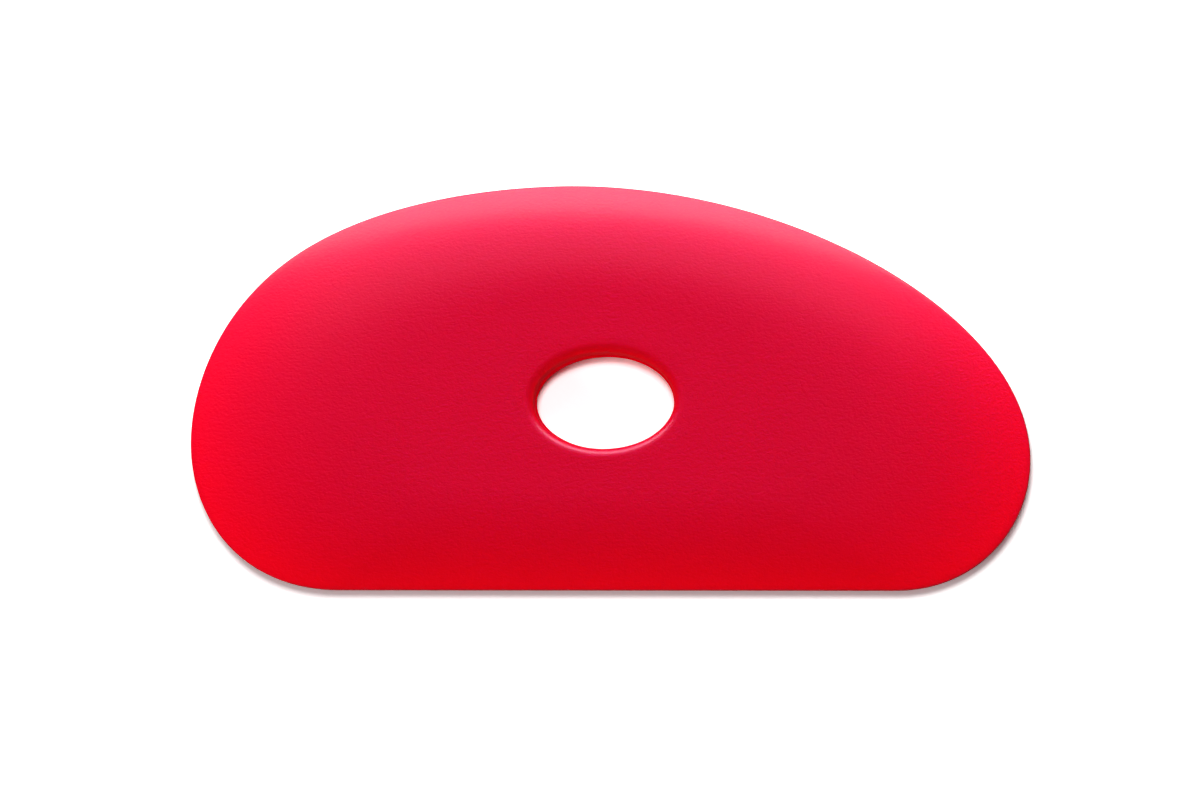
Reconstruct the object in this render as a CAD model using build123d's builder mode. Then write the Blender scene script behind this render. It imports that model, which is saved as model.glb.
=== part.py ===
from build123d import *

import os
from math import radians, tan

# Pottery rib: a one-piece flexible shaping tool with two domed faces, a thin edge and an oval finger hole.
# The rib lies flat. X runs along its straight base, Y up to its crown and Z up through its thickness.
# The origin is on the underside, below the middle of the outline's box.

# Overall sizes, in millimetres
length = 104.9
height = 50.8
thickness = 6.35

# The upright band round the rib, where its two domed faces stop short of each other
edge_thickness = 1.0

# Finger hole, measured at its waist halfway through the rib
hole_length = 17.5
hole_height = 12.0
hole_rim_radius = 1.15
hole_draft_angle = 2.0

# The flat around the hole reaches this far below the rim
flat_margin = 4.0

# The dome leaves the band towards a point that lies this share of the way up to the flat
shoulder_rise_share = 0.8

# The hole's centre, as shares of the length and the height from the outline's lower left corner
hole_share = (0.494, 0.463)

# The outline's nodes, as shares of the length and the height from its lower left corner
heel_share = (0.180, 0.0)
back_share = (0.0, 0.369)
crown_share = (0.452, 1.0)
nose_share = (1.0, 0.318)
toe_share = (0.842, 0.0)

# The handles that bend the outline between its nodes, as shares like the nodes
heel_handle_share = (0.061, 0.0)
back_low_handle_share = (0.0, 0.180)
back_high_handle_share = (0.0, 0.511)
shoulder_low_handle_share = (0.034, 0.712)
shoulder_high_handle_share = (0.246, 0.9945)
crown_back_handle_share = (0.417, 1.0)
crown_nose_handle_share = (0.716, 1.0)
nose_high_handle_share = (1.0, 0.675)
nose_low_handle_share = (1.0, 0.1515)
toe_handle_share = (0.938, 0.0)

# The shoulder lies this share of the way between its two handles, so the outline has no corner there
shoulder_along_share = 0.449
shoulder_share = tuple(
    low + (high - low) * shoulder_along_share
    for low, high in zip(shoulder_low_handle_share, shoulder_high_handle_share)
)

# Each piece of the outline runs clockwise from one node to the next, bent by its two handles
outline_shares = [
    (heel_share, heel_handle_share, back_low_handle_share, back_share),
    (back_share, back_high_handle_share, shoulder_low_handle_share, shoulder_share),
    (shoulder_share, shoulder_high_handle_share, crown_back_handle_share, crown_share),
    (crown_share, crown_nose_handle_share, nose_high_handle_share, nose_share),
    (nose_share, nose_low_handle_share, toe_handle_share, toe_share),
    (toe_share, heel_share),
]

half_thickness = thickness / 2
half_edge = edge_thickness / 2
hole_draft_slope = tan(radians(hole_draft_angle))
hole_across, hole_up = hole_share
hole_x = (hole_across - 1 / 2) * length
hole_y = (hole_up - 1 / 2) * height

# The flat is the outline drawn in towards the hole's centre to this share of its size
flat_share = (hole_height / 2 + hole_rim_radius + flat_margin) / (hole_up * height)

# The dome is a cubic in section, steepest at the band and level where it meets the flat.
# These are its four control points: the share of the outline's size, and the height above the parting plane.
dome_section = [
    (1, half_edge),
    ((2 + flat_share) / 3, half_edge + (half_thickness - half_edge) * shoulder_rise_share),
    ((1 + 2 * flat_share) / 3, half_thickness),
    (flat_share, half_thickness),
]

# The parting plane halfway through the rib, with its origin at the hole's centre
parting_plane = Plane((hole_x, hole_y, half_thickness))


def points(piece_shares, size_share, rise):
    """The points of one piece of the outline, drawn in about the hole and raised above the parting plane."""
    return [
        parting_plane.from_local_coords(
            ((across - hole_across) * length * size_share, (up - hole_up) * height * size_share, rise)
        )
        for across, up in piece_shares
    ]


def level_face(size_share, rise):
    """The level face inside the outline, drawn in about the hole and raised above the parting plane."""
    with BuildLine() as outline:
        for piece_shares in outline_shares:
            Bezier(*points(piece_shares, size_share, rise))
    return Face(outline.wire())


with BuildPart() as rib:
    # Upper dome: one patch over each piece of the outline, the flat on top and the band's plane below
    patches = [
        Face.make_bezier_surface([points(piece_shares, *station) for station in dome_section])
        for piece_shares in outline_shares
    ]
    add(Solid(Shell([*patches, level_face(flat_share, half_thickness), level_face(1, half_edge)])))

    # The lower dome is the same, seen in the parting plane, and the band joins the two
    mirror(about=parting_plane)
    extrude(level_face(1, -half_edge), amount=edge_thickness, dir=(0, 0, 1))

    # The finger hole opens from its waist towards both faces, as the two halves of a mould leave it
    for rise in (-half_thickness, 0, half_thickness):
        opening = abs(rise) * hole_draft_slope
        with BuildSketch(parting_plane.offset(rise)):
            Ellipse(hole_length / 2 + opening, hole_height / 2 + opening)
    loft(ruled=True, mode=Mode.SUBTRACT)

    # Both of its rims are rounded
    flats = rib.faces().filter_by(GeomType.PLANE).group_by(Axis.Z)
    rims = [edge for flat in (*flats[0], *flats[-1]) for edge in flat.inner_wires()[0].edges()]
    fillet(rims, hole_rim_radius)

rib.part.label = "rib"
os.makedirs("parts", exist_ok=True)
export_step(rib.part, "parts/rib.step")
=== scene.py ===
from math import cos, hypot, pi, radians, sin, tan

import bmesh
import bpy
from mathutils import Matrix, Vector


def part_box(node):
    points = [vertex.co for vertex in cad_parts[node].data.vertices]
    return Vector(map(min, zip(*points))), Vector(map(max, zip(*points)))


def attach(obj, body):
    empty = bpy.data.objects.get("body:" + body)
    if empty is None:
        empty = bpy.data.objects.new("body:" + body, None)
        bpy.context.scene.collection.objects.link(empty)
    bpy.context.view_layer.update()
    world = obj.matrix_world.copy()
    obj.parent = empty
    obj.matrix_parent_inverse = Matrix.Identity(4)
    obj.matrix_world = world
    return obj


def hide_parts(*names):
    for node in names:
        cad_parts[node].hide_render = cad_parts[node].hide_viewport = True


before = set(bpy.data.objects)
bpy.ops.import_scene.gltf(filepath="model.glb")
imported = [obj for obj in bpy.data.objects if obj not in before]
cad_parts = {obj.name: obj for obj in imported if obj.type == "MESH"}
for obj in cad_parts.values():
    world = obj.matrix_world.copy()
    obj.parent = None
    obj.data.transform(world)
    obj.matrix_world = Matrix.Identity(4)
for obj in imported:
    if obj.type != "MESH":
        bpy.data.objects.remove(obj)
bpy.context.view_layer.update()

# A pottery rib of soft red elastomer, lying flat on a pale floor under soft studio light.
# X runs along its straight base, Y up to its crown and Z up through its thickness, in metres.

mm = 0.001

# Sizes of the rib: its box from the CAD part, and what lies inside the box as the solid has it
rib_low, rib_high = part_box("rib")
length, height, thickness = rib_high - rib_low
half_thickness = thickness / 2
half_edge = 0.5 * mm
hole_length = 17.5 * mm
hole_height = 12.0 * mm
hole_rim_radius = 1.15 * mm
hole_draft_angle = 2.0
hole_draft_slope = tan(radians(hole_draft_angle))
flat_margin = 4.0 * mm
shoulder_rise_share = 0.8

# Fine lines that the mould leaves at its parting plane, round the edge and round the hole's waist
edge_line_rise = 0.03 * mm
edge_line_half_width = 0.08 * mm
waist_line_rise = 0.20 * mm
waist_line_half_width = 0.16 * mm

# Halfway down its side, the line round the waist still has this share of its rise
waist_line_side_share = 0.7

# The band's two corners are broken by this much
corner_break = 0.12 * mm

# The hole wall's painted glow and matt finish fade over the rounded rim with this power of the cosine
rim_fade_power = 3

# The hole's centre and the outline's nodes, as shares of the length and the height.
# They are measured from the lower left corner of the outline's box.
hole_share = (0.494, 0.463)
heel_share = (0.180, 0.0)
back_share = (0.0, 0.369)
crown_share = (0.452, 1.0)
nose_share = (1.0, 0.318)
toe_share = (0.842, 0.0)

# The handles that bend the outline between its nodes, as shares like the nodes
heel_handle_share = (0.061, 0.0)
back_low_handle_share = (0.0, 0.180)
back_high_handle_share = (0.0, 0.511)
shoulder_low_handle_share = (0.034, 0.712)
shoulder_high_handle_share = (0.246, 0.9945)
crown_back_handle_share = (0.417, 1.0)
crown_nose_handle_share = (0.716, 1.0)
nose_high_handle_share = (1.0, 0.675)
nose_low_handle_share = (1.0, 0.1515)
toe_handle_share = (0.938, 0.0)

# The shoulder lies this share of the way between its two handles, so the outline has no corner there
shoulder_along_share = 0.449
shoulder_share = tuple(
    low + (high - low) * shoulder_along_share
    for low, high in zip(shoulder_low_handle_share, shoulder_high_handle_share)
)

outline_shares = [
    (heel_share, heel_handle_share, back_low_handle_share, back_share),
    (back_share, back_high_handle_share, shoulder_low_handle_share, shoulder_share),
    (shoulder_share, shoulder_high_handle_share, crown_back_handle_share, crown_share),
    (crown_share, crown_nose_handle_share, nose_high_handle_share, nose_share),
    (nose_share, nose_low_handle_share, toe_handle_share, toe_share),
    (toe_share, heel_share),
]

# How finely the mesh follows the rib: columns round it, and steps along each stretch of its section
columns = 480
outline_steps = 160
wall_steps = 3
rim_steps = 10
flat_steps = 6
dome_steps = 30
corner_steps = 5

# The softboxes: name, direction from the rib, distance, width, depth and share of light.
# The last value says whether the gloss shows it.
softboxes = [
    ("overhead", (0.06, 0.1, 1), 0.8, 0.2, 0.2, 0.61, False),
    ("fill", (-1.0, -1.2, 1), 0.6, 0.6, 0.15, 0.36, False),
    ("panel", (-0.12, 0.65, 1), 0.3, 0.24, 0.13, 0.05, True),
    ("strip", (-0.16, 1.6, 1), 0.3, 0.5, 0.13, 0.88, True),
    ("backdrop", (0, 1.6, 0.35), 0.3, 0.5, 0.12, 0.3, True),
]

# The world's strength as light, and as the white that the camera sees beyond the floor
surround_strength = 0.03
white_strength = 1.0

# The camera: its direction from the rib, the point that it aims at and the width that it frames there
camera_direction = (0.10, -0.15, 1)
aim_x = -1.32 * mm
aim_y = -1.50 * mm
frame_width = 149.3 * mm

# Its focal length and the width of its sensor, in millimetres as the camera's settings want them
focal_length = 600
sensor_width = 36

middle_z = (rib_low.z + rib_high.z) / 2
hole_centre = Vector((rib_low.x + hole_share[0] * length, rib_low.y + hole_share[1] * height))
flat_share = (hole_height / 2 + hole_rim_radius + flat_margin) / (hole_share[1] * height)


def bezier(controls, along):
    """The point at a share of the way along a Bezier curve, by repeated halving of its control points."""
    while len(controls) > 1:
        controls = [a.lerp(b, along) for a, b in zip(controls, controls[1:])]
    return controls[0]


def outline_points():
    """Points round the outline, clockwise and evenly spaced, measured from the hole's centre."""
    fine = []
    for piece_shares in outline_shares:
        controls = [
            Vector(((across - hole_share[0]) * length, (up - hole_share[1]) * height))
            for across, up in piece_shares
        ]
        fine += [bezier(controls, step / outline_steps) for step in range(outline_steps)]
    fine.append(fine[0])
    reached = [0.0]
    for a, b in zip(fine, fine[1:]):
        reached.append(reached[-1] + (b - a).length)
    spaced, span = [], 0
    for column in range(columns):
        wanted = reached[-1] * column / columns
        while reached[span + 1] < wanted:
            span += 1
        share = (wanted - reached[span]) / (reached[span + 1] - reached[span])
        spaced.append(fine[span].lerp(fine[span + 1], share))
    return spaced


def outline_normals(outline):
    """The outward direction at each point of the clockwise outline."""
    normals = []
    for column in range(columns):
        tangent = outline[(column + 1) % columns] - outline[column - 1]
        normals.append(Vector((-tangent.y, tangent.x)).normalized())
    return normals


def hole_waist(outline):
    """For each point of the outline, the waist's point in the same direction and its outward normal."""
    a, b = hole_length / 2, hole_height / 2
    waist = []
    for point in outline:
        foot = point / hypot(point.x / a, point.y / b)
        waist.append((foot, Vector((foot.x / a**2, foot.y / b**2)).normalized()))
    return waist


def hole_section():
    """Stations up the hole: offset from its waist, height above the parting plane, and the bore's share.

    The bore's share is 1 on the wall and fades to 0 over the rounded rim; it sets where the wall's brighter
    red glow is painted and where the wall is matt.
    """
    wall_top = half_thickness - hole_rim_radius
    ball_offset = wall_top * hole_draft_slope + hole_rim_radius * hypot(1, hole_draft_slope)
    stations = [
        (-waist_line_rise, 0, 1.0),
        (-waist_line_rise * waist_line_side_share, waist_line_half_width / 2, 1.0),
        (waist_line_half_width * hole_draft_slope, waist_line_half_width, 1.0),
    ]
    for step in range(1, wall_steps + 1):
        rise = waist_line_half_width + (wall_top - waist_line_half_width) * step / (wall_steps + 1)
        stations.append((rise * hole_draft_slope, rise, 1.0))
    for step in range(rim_steps + 1):
        turn = pi / 2 * step / rim_steps
        offset = ball_offset - hole_rim_radius * cos(turn)
        stations.append((offset, wall_top + hole_rim_radius * sin(turn), cos(turn) ** rim_fade_power))
    return stations


def dome_station(along):
    """The dome's section, from the band up to the flat.

    It gives the share of the outline's size and the height above the parting plane.
    """
    return bezier(
        [
            Vector((1, half_edge)),
            Vector(((2 + flat_share) / 3, half_edge + (half_thickness - half_edge) * shoulder_rise_share)),
            Vector(((1 + 2 * flat_share) / 3, half_thickness)),
            Vector((flat_share, half_thickness)),
        ],
        along,
    )


def upper_rows():
    """Rows from the hole's waist over the upper face to the middle of the edge.

    Each row has its points, how thin the rib is there, and the bore's share.
    """
    outline = outline_points()
    normals = outline_normals(outline)
    waist = hole_waist(outline)
    rows = []
    for offset, rise, bore in hole_section():
        rows.append(([(*(foot + normal * offset), rise) for foot, normal in waist], 0.0, bore))
    rim = [Vector(point[:2]) for point in rows[-1][0]]
    for step in range(1, flat_steps + 1):
        share = step / flat_steps
        row = [(*a.lerp(b * flat_share, share), half_thickness) for a, b in zip(rim, outline)]
        rows.append((row, 0.0, 0.0))
    for step in range(1, dome_steps):
        size_share, rise = dome_station(1 - step / dome_steps)
        row = [(*(point * size_share), rise) for point in outline]
        rows.append((row, 1 - rise / half_thickness, 0.0))
    edge_thinness = 1 - half_edge / half_thickness
    last_dome_row = rows[-1][0]
    for step in range(corner_steps + 1):
        row = []
        for inner, outer, normal in zip(last_dome_row, outline, normals):
            corner = Vector((*outer, half_edge))
            towards_dome = (Vector(inner) - corner).normalized()
            controls = [corner + towards_dome * corner_break, corner, corner - Vector((0, 0, corner_break))]
            row.append(tuple(bezier(controls, step / corner_steps)))
        rows.append((row, edge_thinness, 0.0))
    rows.append(([(*point, edge_line_half_width) for point in outline], edge_thinness, 0.0))
    line = [(*(point + normal * edge_line_rise), 0) for point, normal in zip(outline, normals)]
    rows.append((line, edge_thinness, 0.0))
    return rows


def add_mesh(name, vertices, faces):
    """A smooth-shaded mesh object with its faces turned outwards."""
    mesh = bpy.data.meshes.new(name)
    mesh.from_pydata(vertices, [], faces)
    work = bmesh.new()
    work.from_mesh(mesh)
    bmesh.ops.recalc_face_normals(work, faces=work.faces)
    work.to_mesh(mesh)
    work.free()
    mesh.shade_smooth()
    piece = bpy.data.objects.new(name, mesh)
    bpy.context.scene.collection.objects.link(piece)
    return piece


def make_rib():
    """The rib as one closed mesh, its lower half the mirror of its upper half."""
    upper = upper_rows()
    lower = [([(x, y, -z) for x, y, z in row], thin, bore) for row, thin, bore in reversed(upper[1:-1])]
    rows = upper + lower
    vertices = [
        (x + hole_centre.x, y + hole_centre.y, z + middle_z) for row, thin, bore in rows for x, y, z in row
    ]
    faces = []
    for row in range(len(rows)):
        here, there = row * columns, (row + 1) % len(rows) * columns
        for column in range(columns):
            ahead = (column + 1) % columns
            faces.append((here + column, here + ahead, there + ahead, there + column))
    rib = add_mesh("rib_body", vertices, faces)
    # How thin the rib is and the bore's share, which set where the brighter red glow is painted
    thinness = rib.data.attributes.new("thinness", "FLOAT", "POINT")
    thinness.data.foreach_set("value", [thin for row, thin, bore in rows for point in row])
    in_bore = rib.data.attributes.new("in_bore", "FLOAT", "POINT")
    in_bore.data.foreach_set("value", [bore for row, thin, bore in rows for point in row])
    return rib


def node_maker(material):
    """A function that adds a node to the material, with its inputs given by name or number."""
    tree = material.node_tree

    def add_node(kind, inputs=None, **settings):
        node = tree.nodes.new(kind)
        for key, value in settings.items():
            setattr(node, key, value)
        for key, value in (inputs or {}).items():
            if isinstance(value, bpy.types.NodeSocket):
                tree.links.new(value, node.inputs[key])
            else:
                node.inputs[key].default_value = value
        return node

    return add_node


def new_material(name):
    """An empty node material, its node adder and its output node."""
    material = bpy.data.materials.new(name)
    material.use_nodes = True
    material.node_tree.nodes.clear()
    add_node = node_maker(material)
    return material, add_node, add_node("ShaderNodeOutputMaterial")


def mix_colors(add_node, share, first, second, blend="MIX"):
    """The output of a colour mix that goes from the first to the second by the share."""
    first_input, second_input, color_output = 6, 7, 2
    inputs = {0: share, first_input: first, second_input: second}
    return add_node("ShaderNodeMix", inputs, data_type="RGBA", blend_type=blend).outputs[color_output]


def elastomer():
    """Soft satin elastomer, crimson where it is thick, with a painted glow of brighter red towards the thin
    edge and on the hole's wall.
    """
    thick_color = (0.62, 0.0, 0.007, 1)
    # The painted glow: this brighter red stands in for light coming through the thin edge and lighting the
    # hole's wall
    painted_glow_color = (1.0, 0.0, 0.004, 1)
    gloss_tint = (1.0, 0.0, 0.8, 1)

    # Features a metre of the cloudiness, of the grain, and of the streaks along and across the base
    cloud_scale = 90.0
    grain_scale = 3400.0
    streak_scale = (1800.0, grain_scale, grain_scale)
    grain_depth = 0.05 * mm
    glow_depth = 1.2 * mm
    material, add_node, output = new_material("elastomer")
    place = add_node("ShaderNodeTexCoord").outputs["Object"]

    # Colour: a painted glow, brighter red towards the thin edge and on the hole's wall, with a faint
    # cloudiness of the cast material
    thinness = add_node("ShaderNodeAttribute", attribute_name="thinness").outputs["Fac"]
    in_bore = add_node("ShaderNodeAttribute", attribute_name="in_bore").outputs["Fac"]
    # Painted glow: the thin edge and the hole's wall get the brighter red
    painted_glow = add_node("ShaderNodeMath", {0: thinness, 1: in_bore}, operation="MAXIMUM").outputs[0]
    color = mix_colors(add_node, painted_glow, thick_color, painted_glow_color)
    clouds = add_node(
        "ShaderNodeTexNoise", {"Vector": place, "Scale": cloud_scale, "Detail": 3.0}
    ).outputs["Fac"]
    cloudiness = add_node(
        "ShaderNodeMapRange", {"Value": clouds, "To Min": 0.975, "To Max": 1.025}
    ).outputs["Result"]
    color = mix_colors(add_node, 1.0, color, cloudiness, "MULTIPLY")

    # The faces have a thin smooth skin, and the hole's wall is matt
    polish = add_node(
        "ShaderNodeMapRange", {"Value": in_bore, "From Min": 0.3, "To Min": 0.72, "To Max": 0.0}
    ).outputs["Result"]

    # Grain: fine pits all over, and micro-streaks along the base as the mould was finished
    grain = add_node(
        "ShaderNodeTexNoise", {"Vector": place, "Scale": grain_scale, "Detail": 2.0, "Roughness": 0.6}
    ).outputs["Fac"]
    along_base = add_node("ShaderNodeMapping", {"Vector": place, "Scale": streak_scale})
    streaks = add_node(
        "ShaderNodeTexNoise", {"Vector": along_base.outputs[0], "Scale": 1.0, "Detail": 2.0}
    ).outputs["Fac"]
    relief = add_node("ShaderNodeMath", {0: grain, 1: streaks}, operation="ADD").outputs[0]
    bump = add_node("ShaderNodeBump", {"Height": relief, "Strength": 1.0, "Distance": grain_depth})
    roughness = add_node(
        "ShaderNodeMapRange", {"Value": relief, "From Max": 2.0, "To Min": 0.45, "To Max": 0.6}
    ).outputs["Result"]

    skin = add_node(
        "ShaderNodeBsdfPrincipled",
        {
            "Base Color": color,
            "Roughness": roughness,
            "Normal": bump.outputs["Normal"],
            "IOR": 1.5,
            "Specular IOR Level": 1.0,
            "Specular Tint": gloss_tint,
            "Subsurface Weight": 0.8,
            "Subsurface Radius": (1.0, 0.15, 0.1),
            "Subsurface Scale": glow_depth,
            "Coat Weight": polish,
            "Coat Roughness": 0.25,
            "Coat IOR": 1.6,
        },
    )
    material.node_tree.links.new(skin.outputs[0], output.inputs["Surface"])
    return material


def floor_material():
    """Pale matt floor that keeps the rib's shadow.

    The camera sees it lighter, so that it turns white beyond the shadow. Glossy rays see it nearly dark,
    so that the rib's edge and the hole don't mirror it.
    """
    pale = (0.55, 0.55, 0.55, 1)
    seen_pale = (1.52, 1.52, 1.52, 1)
    dim = (0.06, 0.06, 0.06, 1)

    # The camera sees the floor lit up by this much at the rib, and fully lit up from the far distance on
    lift_at_rib = 0.03
    far_distance = 4 * length
    material, add_node, output = new_material("floor")
    ray = add_node("ShaderNodeLightPath")
    color = mix_colors(add_node, ray.outputs["Is Camera Ray"], pale, seen_pale)
    color = mix_colors(add_node, ray.outputs["Is Glossy Ray"], color, dim)
    matt = add_node("ShaderNodeBsdfDiffuse", {"Color": color})
    place = add_node("ShaderNodeTexCoord").outputs["Object"]
    distance = add_node("ShaderNodeVectorMath", {0: place}, operation="LENGTH").outputs["Value"]
    reach = {"Value": distance, "From Min": length, "From Max": far_distance, "To Min": lift_at_rib}
    lift = add_node("ShaderNodeMapRange", reach).outputs["Result"]
    strength = add_node(
        "ShaderNodeMath", {0: lift, 1: ray.outputs["Is Camera Ray"]}, operation="MULTIPLY"
    ).outputs[0]
    lifted = add_node("ShaderNodeEmission", {"Strength": strength})
    both = add_node("ShaderNodeAddShader", {0: matt.outputs[0], 1: lifted.outputs[0]})
    material.node_tree.links.new(both.outputs[0], output.inputs["Surface"])
    return material


def make_floor():
    """A wide level floor just under the rib."""
    half_width = 20 * length
    drop = 0.02 * mm
    corners = [
        (x * half_width, y * half_width, rib_low.z - drop) for x, y in ((-1, -1), (1, -1), (1, 1), (-1, 1))
    ]
    floor = add_mesh("floor", corners, [(0, 1, 2, 3)])
    floor.data.materials.append(floor_material())


def add_softbox(name, direction, distance, width, depth, share, in_gloss):
    """An oblong softbox aimed at the rib. Its share is the light that it gives a surface turned to it."""
    lamp = bpy.data.lights.new(name, "AREA")
    lamp.shape = "RECTANGLE"
    lamp.size = width
    lamp.size_y = depth
    lamp.energy = share * (pi * distance) ** 2
    holder = bpy.data.objects.new(name, lamp)
    towards = Vector(direction).normalized()
    centre = (rib_low + rib_high) / 2
    holder.location = centre + towards * distance
    holder.rotation_euler = towards.to_track_quat("Z", "Y").to_euler()
    holder.visible_camera = False
    holder.visible_glossy = in_gloss
    bpy.context.scene.collection.objects.link(holder)


def light_the_scene():
    """A small softbox overhead, a fill at the lower left, three softboxes beyond the crown, a dim surround.

    Only the three beyond the crown show in the gloss: the flat stays clear, and the crown and the hole's
    lower rim get a sheen.
    """
    for softbox in softboxes:
        add_softbox(*softbox)
    world = bpy.data.worlds.new("surround")
    world.use_nodes = True
    bpy.context.scene.world = world
    tree = world.node_tree
    tree.nodes.clear()
    choice = tree.nodes.new("ShaderNodeMixShader")
    seen = tree.nodes.new("ShaderNodeLightPath").outputs["Is Camera Ray"]
    tree.links.new(seen, choice.inputs[0])
    for socket, strength in ((1, surround_strength), (2, white_strength)):
        background = tree.nodes.new("ShaderNodeBackground")
        background.inputs["Color"].default_value = (1, 1, 1, 1)
        background.inputs["Strength"].default_value = strength
        tree.links.new(background.outputs[0], choice.inputs[socket])
    output = tree.nodes.new("ShaderNodeOutputWorld")
    tree.links.new(choice.outputs[0], output.inputs["Surface"])


def make_camera():
    """A long lens almost straight above, a little to the right and below, as in the photograph."""
    towards = Vector(camera_direction).normalized()
    aim = Vector((aim_x, aim_y, middle_z))
    camera = bpy.data.objects.new("camera", bpy.data.cameras.new("camera"))
    camera.data.lens = focal_length
    camera.data.sensor_width = sensor_width
    distance = frame_width * focal_length / sensor_width

    # The base stays level in the picture, so X is the picture's right as far as the view allows
    right = (Vector((1, 0, 0)) - towards * towards.x).normalized()
    turn = Matrix((right, towards.cross(right), towards)).transposed()
    camera.matrix_world = Matrix.Translation(aim + towards * distance) @ turn.to_4x4()
    bpy.context.scene.collection.objects.link(camera)
    bpy.context.scene.camera = camera


make_camera()
light_the_scene()
make_floor()
rib_body = make_rib()
rib_body.data.materials.append(elastomer())
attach(rib_body, "root")
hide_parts("rib")
bpy.context.scene.view_settings.view_transform = "Standard"
